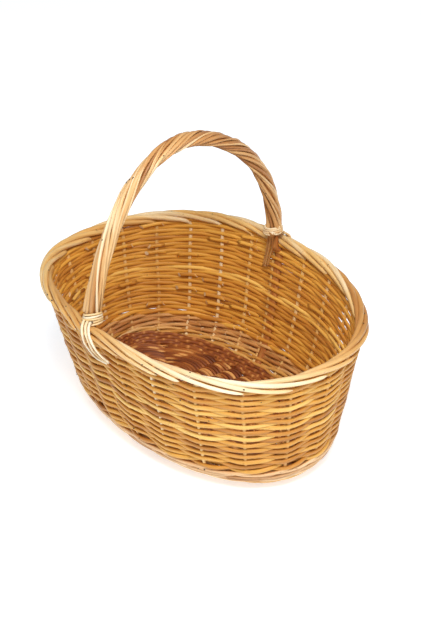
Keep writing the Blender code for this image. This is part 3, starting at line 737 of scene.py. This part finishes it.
def inner_pair():
    rods = []
    for m in range(2):
        for lvl, (zc, oc) in enumerate(((0.0108, -0.0062), (0.0118, -0.0026), (0.0138, 0.0012), (0.0158, 0.0048))):
            rng = np.random.default_rng(80 + m + 7 * lvl)
            k = np.linspace(m, m + STAKES + 0.4, 300)
            s = s_of_k(k)
            t = t_of_arc(s)
            b = base_line(t, oc + 0.0014 * np.cos(np.pi * (k + m)))
            z = zc + 0.0016 * np.sin(np.pi * (k + m))
            pts = np.concatenate([b, z[:, None]], 1)
            # painted highlight: a short light stroke is painted along each rod every half stake, like the lit strokes
            # of the base weave
            rods.append(Rod(pts, UP, 0.0022, sides=7, shade=np.clip(rng.uniform(0.34, 0.52) + 0.42 * np.clip(np.sin(2 * np.pi * (2 * k + 0.37 * lvl + 0.5 * m)), 0, 1) ** 2, 0, 1),
                            cut=(0.5, 0.5), seed=85 + m + lvl))
    return rods


place("inner_wale", inner_pair(), m_base, "willow_rod", "upsett_wale_inner")


# ------------------------------------------------------------------- the handle
def bow_point(s):
    y = -HANDLE_W * math.cos(s) - HANDLE_SKEW * math.sin(s)
    z = HANDLE_Z + HANDLE_H * math.sin(s) ** (1.16 + (0.22 if s < math.pi / 2 else 0.33) * math.cos(s))
    x = X_NEAR + (X_FAR - X_NEAR) * (y + HANDLE_W) / (2 * HANDLE_W)
    return np.array([x, y, z])


def leg(i):
    s0 = s_of_k(i) - (STAKE_R + CLEAR)
    out, ref = [], []
    t0 = t_of_arc(s0)
    for u in [0.0100 / rim_z(t0)] + list(np.linspace(0.0175 / rim_z(t0), 1 - 0.0088 / rim_z(t0), 9)[:-1]):
        out.append(wall(t0, u))
        ref.append(wall_dirs(t0, u)[1])
    c, o = rim_centre(np.asarray(t0)), out_flat(np.asarray(t0))
    for dz, din in ((-0.0150, 0.0040), (-0.0085, 0.0085), (-0.0045, LEG_IN), (0.0078, LEG_IN)):
        out.append(c - o * din + UP * dz)
        ref.append(o)
    return out, ref


near_p, near_r = leg(HALF)
far_p, far_r = leg(0)
arch = [bow_point(math.radians(a)) for a in (18, 26, 36, 48, 62, 77, 92, 107, 121, 134, 146, 156, 164, 170)]
top_near, top_far = near_p[-1], far_p[-1]
curve = smooth_path([near_p[-2], top_near] + arch + [top_far, far_p[-2]], 0.0105)
core = np.array([p for p in curve if (p[2] > top_near[2] + 0.004 or abs(p[1]) < 0.10)
                 and not (p[1] > 0 and p[2] < top_far[2] + 0.004)])
line = smooth_path([top_near] + list(core) + [top_far], 0.0030)
run = np.r_[0, np.cumsum(np.linalg.norm(np.diff(line, axis=0), axis=1))]
LEN = run[-1]
dl = unit(np.gradient(line, axis=0))
hl = unit(np.cross(dl, X_AX))
wl = unit(np.cross(hl, dl))

# the bow itself, with its scarfed legs down inside the wall
leg_w, leg_h = 0.0052, 0.0030
cw = np.clip(np.minimum(run, LEN - run) / 0.03, 0, 1)
path = np.hstack([np.vstack([near_p, line[2:-2], far_p[::-1]]),
                  np.vstack([-np.array(near_r), hl[2:-2], -np.array(far_r[::-1])]),
                  np.concatenate([np.full(len(near_p), leg_w), (leg_w + (BOW_R - leg_w) * cw)[2:-2],
                                  np.full(len(far_p), leg_w)])[:, None],
                  np.concatenate([np.full(len(near_p), leg_h), (leg_h + (BOW_R - leg_h) * cw)[2:-2],
                                  np.full(len(far_p), leg_h)])[:, None]])
path = smooth_path(path, 0.0035)
place("bow", [Rod(path[:, :3], path[:, 3:6], path[:, 6], path[:, 7], sides=12, shade=0.75, cut=(0.3, 0.3),
                  end_pale=0.4, seed=31)], m_core, "bow_wood", "handle_bow")

# turns per metre: loose on the near limb, tight over the top
TW_AT = np.array([0.0, 0.10, 0.25, 0.38, 0.52, 0.66, 0.82, 1.0]) * LEN
TW = np.array([1.8, 2.8, 4.0, 5.9, 8.2, 7.6, 6.0, 4.2])
twist = np.r_[0, np.cumsum(0.5 * (np.interp(run[1:], TW_AT, TW) + np.interp(run[:-1], TW_AT, TW)) * np.diff(run))]
WRAPS = 10


share = np.random.default_rng(299).uniform(0.62, 1.40, WRAPS)
share = share / share.sum()
LAY = np.interp(run, np.array([0.0, 0.05, 0.14, 0.45, 0.75, 0.93, 1.0]) * LEN,
                [0.0070, 0.0069, 0.0064, 0.0058, 0.0060, 0.0064, 0.0068])


def wrap_rods(which):
    """Unequal strands side by side round the bow, each with its own wander."""
    rods = []
    x = run / LEN
    for i in which:
        rng = np.random.default_rng(300 + i)
        at = share[:i].sum() + 0.5 * share[i]
        r0 = np.pi * 0.0064 * share[i] * 0.88
        a = 2 * np.pi * (at + twist) + sway(run, rng, 0.22, (0.09, 0.17, 0.31))
        deep = rng.uniform(0.0018, 0.0024)
        rad = LAY + sway(run, rng, 0.0007, (0.07, 0.16)) + rng.uniform(-0.0006, 0.0005)
        v = hl * np.cos(a)[:, None] + wl * np.sin(a)[:, None]
        pts = line + v * rad[:, None]
        flip = rng.random() < 0.5
        r = r0 * (1.10 - 0.20 * (1 - x if flip else x))
        lo = 1
        hi = len(line) - 1
        # painted light along the limb, plus each strand's own random tone
        shade = limb_painted_light(x) + rng.normal(0.0, 0.17)
        rod = Rod(pts[lo:hi], v[lo:hi], r[lo:hi], deep * (r / r0)[lo:hi], sides=9, shade=np.clip(shade, 0, 1)[lo:hi],
                  cut=(0.6, 0.6), seed=320 + i)
        rods.append(rod)
        for _ in range(int(rng.integers(1, 4))):
            rods.append(rod.bud(rng.uniform(0.03, LEN - 0.03), rng.uniform(0.2, 2.9), rng.uniform(0.0005, 0.0009)))
    return rods


def limb_painted_light(x):
    """Painted light: the near limb is painted pale as a painted highlight, the top and the far limb deeper gold as
    painted shade.
    """
    return np.interp(x, [0, 0.12, 0.22, 0.34, 0.45, 0.60, 0.78, 1.0], [0.42, 0.52, 0.68, 0.60, 0.28, 0.17, 0.30, 0.40])


def over_rods():
    """Thinner rods laid over the others for part of the way, with cut tips."""
    rods = []
    for q, (x0, x1, turn, slip, r) in enumerate(((0.00, 0.36, 0.10, 0.10, 0.00135), (0.02, 0.47, 0.72, 0.16, 0.00120),
                                                 (0.24, 0.62, 0.33, 0.12, 0.00140), (0.40, 0.74, 0.93, -0.14, 0.00125),
                                                 (0.55, 0.99, 0.52, -0.10, 0.00135), (0.30, 0.55, 0.62, 0.22, 0.00110))):
        m = (run >= x0 * LEN) & (run <= x1 * LEN)
        x = run[m] / LEN
        f = (x - x0) / (x1 - x0)
        rng = np.random.default_rng(350 + q)
        a = 2 * np.pi * (turn + twist[m] + slip * f) + sway(run[m], rng, 0.10, (0.12, 0.2))
        end = np.clip(np.minimum(f / 0.06 + (x0 < 0.05), (1 - f) / 0.08 + (x1 > 0.95)), 0, 1)
        v = hl[m] * np.cos(a)[:, None] + wl[m] * np.sin(a)[:, None]
        pts = line[m] + v * (LAY[m] + 0.0002 + 0.0013 * end)[:, None]
        rods.append(Rod(pts, v, r * (0.55 + 0.45 * end), r * 0.8 * (0.55 + 0.45 * end), sides=8,
                        shade=np.clip(limb_painted_light(x) + rng.normal(0.06, 0.12), 0, 1), cut=(1.0, 1.2),
                        end_pale=0.5, seed=360 + q))
    return rods


place("handle_rods_01", wrap_rods([0, 3, 6]) + over_rods(), m_wrap, "willow_pale", "handle_wrap_01", "handle_wrap_04")
place("handle_rods_02", wrap_rods([1, 4, 7, 9]), m_wrap, "willow_rod", "handle_wrap_02", "handle_wrap_05")
place("handle_rods_03", wrap_rods([2, 5, 8]), m_wrap, "willow_pale", "handle_wrap_03", "handle_wrap_06")

def rim_point(s0, a, o_, z):
    """A point near the border: along the rim, outward and up, in metres."""
    t = t_of_arc(s0 + a)
    return rim_centre(np.asarray(t)) + out_flat(np.asarray(t)) * np.asarray(o_)[..., None] + UP * np.asarray(z)[..., None]


def binding(i, seed, levels, halves, mids, tilt, rise, r, start):
    """Thin rods drawn tight round a handle foot, one turn above the other."""
    rods = []
    s0 = s_of_k(i)
    for q, (z0, half_a, mid) in enumerate(zip(levels, halves, mids)):
        half_o = half_a + 0.0002
        rng = np.random.default_rng(seed + q)
        f = np.linspace(0, 1, 46)
        ph = start + rng.uniform(-0.3, 0.3) + 2 * np.pi * 1.08 * f
        puff = 1 + sway(f, rng, 0.03, (0.4, 0.7)) + 0.05 * (rng.random() - 0.5)
        a = half_a * puff * np.cos(ph)
        o_ = mid + half_o * puff * np.sin(ph)
        z = z0 - tilt * np.sin(ph) + rise * np.cos(ph) + 0.0010 * (f - 0.5) + sway(f, rng, 0.0004, (0.5, 0.9))
        pts = rim_point(s0, a, o_, z)
        c = rim_point(s0, 0 * a, mid + 0 * a, z)
        rods.append(Rod(pts, unit(pts - c), r * rng.uniform(0.9, 1.15), sides=8, shade=rng.uniform(0.62, 0.95),
                        cut=(0.6, 0.9), end_pale=0.6, seed=seed + 5 * q))
    return rods


place("binding_near", binding(HALF, 41, (0.0104, 0.0079, 0.0054, 0.0029, 0.0004), (0.0086, 0.0090, 0.0095, 0.0100, 0.0105),
                              (-0.0098, -0.0095, -0.0091, -0.0086, -0.0080), -0.0010, 0.0034, 0.00112, 2.0),
      m_stake, "willow_pale", "handle_binding_near")
place("binding_far", binding(0, 47, (0.0190, 0.0166, 0.0143, 0.0121), (0.0088, 0.0093, 0.0096, 0.0098),
                             (-0.0098, -0.0098, -0.0098, -0.0098), -0.0008, -0.0010, 0.00130, 1.2),
      m_wrap, "willow_pale", "handle_binding_far")


def tails(i, seed, spec):
    """Rod tails at a handle foot; points are (along the rim, outward, up) in mm."""
    rods = []
    s0 = s_of_k(i) - 0.0025
    for q, (pts, r, shade) in enumerate(spec):
        p3, ref = [], []
        for a, o_, z in pts:
            t = t_of_arc(s0 + a * 1e-3)
            c, o = rim_centre(np.asarray(t)), out_flat(np.asarray(t))
            if z < -9:      # below the border the tail lies on the sloping wall
                u = (rim_z(t) + z * 1e-3) / rim_z(t)
                w = wall(t, u)
                p3.append(np.array([w[0], w[1], w[2]]) + o * o_ * 1e-3)
            else:
                p3.append(c + o * o_ * 1e-3 + UP * z * 1e-3)
            ref.append(o if o_ > 0 else -o)
        rr = np.linspace(r, r * 0.62, len(pts))
        pth = smooth_path(np.hstack([np.array(p3), np.array(ref), rr[:, None] * 1e-3]), 0.0025)
        rods.append(Rod(pth[:, :3], pth[:, 3:6], pth[:, 6], pth[:, 6] * 0.8, sides=8, shade=shade,
                        cut=(0.3, 1.5), end_pale=0.8, seed=seed + q))
    return rods


NEAR_TAIL = [([(3.0, 0.0, 6.4), (5.5, 3.9, 6.6), (7.8, 7.2, 3.6), (10.6, 9.3, -1.4), (9.0, 7.4, -8.6), (7.0, 8.4, -16.8), (12.2, 7.2, -25.4), (20.8, 6.5, -30.1), (39.6, 6.3, -27.4)], 2.05, 0.92),
             ([(7.4, -1.0, 6.8), (10.0, 3.0, 7.2), (12.9, 6.4, 4.6), (17.4, 9.0, -0.4), (21.2, 8.7, -7.4), (20.6, 9.2, -14.0), (21.3, 8.3, -19.9), (29.0, 7.0, -24.6), (41.4, 6.4, -25.2)], 2.0, 0.80),
             ([(12.0, -2.0, 7.0), (14.4, 2.2, 7.8), (17.8, 5.8, 5.6), (22.6, 8.8, 0.8), (27.4, 9.4, -5.0), (28.2, 9.4, -10.8), (28.6, 8.5, -15.4), (34.4, 7.2, -21.0), (43.6, 6.5, -23.0)], 1.95, 0.97)]
FAR_TAIL = [([(-4.0, -19.0, 16.0), (1.6, -17.6, 8.0), (5.6, -14.8, 0.0), (9.2, -12.0, -10.5), (12.4, -9.6, -22.0), (14.8, -8.6, -33.0)], 1.6, 0.20),
            ([(-7.4, -19.2, 16.4), (-1.8, -17.8, 9.0), (2.0, -15.0, 1.0), (5.8, -12.2, -9.8), (9.0, -9.8, -21.4), (11.4, -8.8, -32.4)], 1.7, 0.30),
            ([(-10.6, -19.0, 16.6), (-5.2, -17.6, 9.8), (-1.6, -14.8, 1.8), (2.2, -12.0, -9.0), (5.4, -9.6, -20.6), (7.8, -8.6, -31.6)], 1.6, 0.22)]
OUT_TAIL = [([(-2.0, -1.4, 7.4), (-3.4, 3.4, 6.6), (-4.9, 7.4, 2.8), (-5.2, 9.2, -2.4), (-4.4, 8.6, -10.5), (-3.4, 6.6, -18.8), (-7.4, 6.4, -27.6)], 1.75, 0.7),
            ([(2.4, -1.4, 7.6), (1.4, 2.6, 7.2), (0.4, 6.6, 4.2), (-0.6, 9.0, -0.6), (-0.4, 9.0, -7.0), (0.4, 7.0, -15.5), (-2.0, 6.5, -24.0)], 1.65, 0.5)]
place("tails_near", tails(HALF, 400, NEAR_TAIL), m_stake, "willow_pale")
place("tails_far", tails(0, 420, FAR_TAIL + OUT_TAIL), m_wrap, "willow_pale")


# --------------------------------------------------------------------- the base
STICKS, PITCH = 7, 0.022
EDGE_A, EDGE_B = BASE_A - 0.0062, BASE_B - 0.0062
CORE_A, CORE_B, CORE_N = 0.0790, 0.0105, 5.0
BRINGS = 28
TT = np.linspace(0, 2 * np.pi, 2881)

sticks = []
for i in range(STICKS):
    x = (i - (STICKS - 1) / 2) * PITCH
    b = base_line(TT[:721], -0.0052)
    y_end = float(np.interp(abs(x), b[::-1, 0], b[::-1, 1]))
    y = np.linspace(-y_end, y_end, 46)
    rng = np.random.default_rng(500 + i)
    swell = np.exp(-(y / 0.010) ** 4)
    zc = BASE_Z + sway(y + 0.2, rng, 0.0003, (0.11, 0.2))
    pts = np.stack([x + sway(y + 0.2, rng, 0.0006, (0.15, 0.3)), y, zc], 1)
    taper = 1 - 0.35 * np.clip((np.abs(y) - y_end + 0.012) / 0.012, 0, 1)
    sticks.append(Rod(pts, UP, (0.0031 + 0.0007 * swell) * taper, (0.0031 + 0.0006 * swell) * taper, sides=9,
                      shade=rng.uniform(0.4, 0.9), cut=(0.4, 0.4), seed=510 + i))
place("base_sticks", sticks, m_base, "bow_wood", *["base_stick_%02d" % (i + 1) for i in range(STICKS)])

runners = []
for i in range(3):
    rng = np.random.default_rng(530 + i)
    tip = BASE_A - 0.0066 - 0.0008 * abs(i - 1)
    x = np.linspace(-tip, tip, 70)
    fan = 1 + 0.9 * np.clip((np.abs(x) - 0.085) / 0.07, 0, 1)
    pts = np.stack([x, (i - 1) * 0.0058 * fan, np.full(len(x), BASE_Z) + sway(x + 0.3, rng, 0.0002, (0.2, 0.13))], 1)
    runners.append(Rod(pts, UP, 0.0027, 0.0022, sides=9, shade=rng.uniform(0.4, 0.9), cut=(0.4, 0.4), seed=540 + i))
place("base_runners", runners, m_base, "bow_wood", *["base_runner_%02d" % (i + 1) for i in range(3)])

edge_o = oval(EDGE_A, EDGE_B, BASE_N, TT)
core_o = oval(CORE_A, CORE_B, CORE_N, TT)


def base_ring(r):
    rng = np.random.default_rng(600 + r)
    f = ((r + 0.5) / BRINGS)
    p = core_o * (1 - f) + edge_o * f
    half = len(TT) // 2
    xs, ts = p[:half + 1, 0][::-1], TT[:half + 1][::-1]
    marks = [0.0]
    for i in range(STICKS - 1, -1, -1):
        marks.append(float(np.interp((i - (STICKS - 1) / 2) * PITCH, xs, ts)))
    marks.append(math.pi)
    marks += [2 * math.pi - m for m in reversed(marks[1:1 + STICKS])] + [2 * math.pi]
    arc = np.r_[0, np.cumsum(np.hypot(*np.diff(p, axis=0).T))]
    n = max(60, int(arc[-1] / 0.0034))
    t = np.interp(np.linspace(0, arc[-1], n, endpoint=False), arc, TT)
    k = np.interp(t, marks, np.arange(len(marks)))
    wave = np.cos(np.pi * (k + r))
    wave = np.sign(wave) * np.abs(wave) ** 0.8
    px = np.interp(t, TT, p[:, 0])
    py = np.interp(t, TT, p[:, 1])
    z = BASE_Z + wave * 0.0042 + sway(t, rng, 0.0003, (1.3, 2.6))
    rad = rng.uniform(0.00168, 0.00195)
    pts = np.stack([px, py, np.maximum(z, rad + 0.0002)], 1)
    jump = int(rng.integers(0, n))
    pts = np.roll(pts, jump, 0)
    # painted highlight: the stretches of the ring that ride up over the sticks are painted lighter
    tone = np.clip(rng.normal(0.36, 0.15) + 0.64 * np.clip(np.roll(wave, -jump), 0, 1) ** 2, 0, 1)
    return Rod(pts, UP, rad, sides=7, shade=tone, closed=True, seed=610 + r)


cutsb = np.linspace(0, BRINGS, 6).round().astype(int)
for g in range(5):
    place("base_rings_%02d" % (g + 1), [base_ring(r) for r in range(cutsb[g], cutsb[g + 1])],
          m_base, "willow_base", "base_weave_%02d" % (g + 1))


# ----------------------------------------------------------- floor, light, camera
def plain(name, colour, rough, glow=0.0):
    m = bpy.data.materials.new(name)
    m.use_nodes = True
    b = m.node_tree.nodes["Principled BSDF"]
    b.inputs["Base Color"].default_value = (*colour, 1.0)
    b.inputs["Roughness"].default_value = rough
    b.inputs["Specular IOR Level"].default_value = 0.1
    if glow:
        b.inputs["Emission Color"].default_value = (1.0, 1.0, 1.0, 1.0)
        b.inputs["Emission Strength"].default_value = glow
    return m


me = bpy.data.meshes.new("floor")
R = 6.0
me.from_pydata([(-R, -R, -0.0005), (R, -R, -0.0005), (R, R, -0.0005), (-R, R, -0.0005)], [], [(0, 1, 2, 3)])
me.materials.append(plain("floor_white", (0.80, 0.88, 0.98), 0.8, 0.555))
floor = bpy.data.objects.new("floor", me)
bpy.context.scene.collection.objects.link(floor)

scene = bpy.context.scene
world = bpy.data.worlds.new("studio")
scene.world = world
world.use_nodes = True
bg = world.node_tree.nodes["Background"]
bg.inputs["Color"].default_value = (1.0, 1.0, 1.0, 1.0)
bg.inputs["Strength"].default_value = 0.45


def area(name, loc, aim, size, power, colour=(1, 1, 1)):
    d = bpy.data.lights.new(name, "AREA")
    d.shape = "DISK"
    d.size = size
    d.energy = power
    d.color = colour
    o = bpy.data.objects.new(name, d)
    o.location = loc
    o.rotation_euler = (Vector(aim) - Vector(loc)).to_track_quat("-Z", "Y").to_euler()
    scene.collection.objects.link(o)
    return o


AZ, EL, ROLL, DIST = math.radians(54.0136), math.radians(31.3533), math.radians(-2.0231), 1.5978
back = np.array([math.sin(AZ) * math.cos(EL), -math.cos(AZ) * math.cos(EL), math.sin(EL)])
right = unit(np.cross(-back, UP))
upv = np.cross(right, -back)
r2 = right * math.cos(ROLL) + upv * math.sin(ROLL)
u2 = -right * math.sin(ROLL) + upv * math.cos(ROLL)
flat_back = unit(np.array([back[0], back[1], 0.0]))
left = -right

key = flat_back * 0.74 - left * 0.06 + UP * 1.14
area("key", tuple(key), (0.0, 0.0, 0.10), 0.50, 13.2, (1.0, 0.985, 0.96))
fill = flat_back * 0.9 - left * 1.1 + UP * 0.9
area("fill", tuple(fill), (0, 0, 0.1), 1.2, 1.5, (0.97, 0.985, 1.0))

cam = bpy.data.cameras.new("camera")
cam.sensor_fit = "AUTO"
cam.sensor_width = 36.0
cam.lens = 1501.3 / 631 * 36.0
cam.shift_x = 10.788 / 631
cam.shift_y = 7.629 / 631
cam.clip_start, cam.clip_end = 0.05, 30.0
co = bpy.data.objects.new("camera", cam)
pos = np.array([0, 0, 0.1104]) + back * DIST
co.matrix_world = Matrix(((r2[0], u2[0], back[0], pos[0]), (r2[1], u2[1], back[1], pos[1]),
                          (r2[2], u2[2], back[2], pos[2]), (0, 0, 0, 1)))
scene.collection.objects.link(co)
scene.camera = co
scene.view_settings.view_transform = "Standard"

bpy.context.view_layer.update()
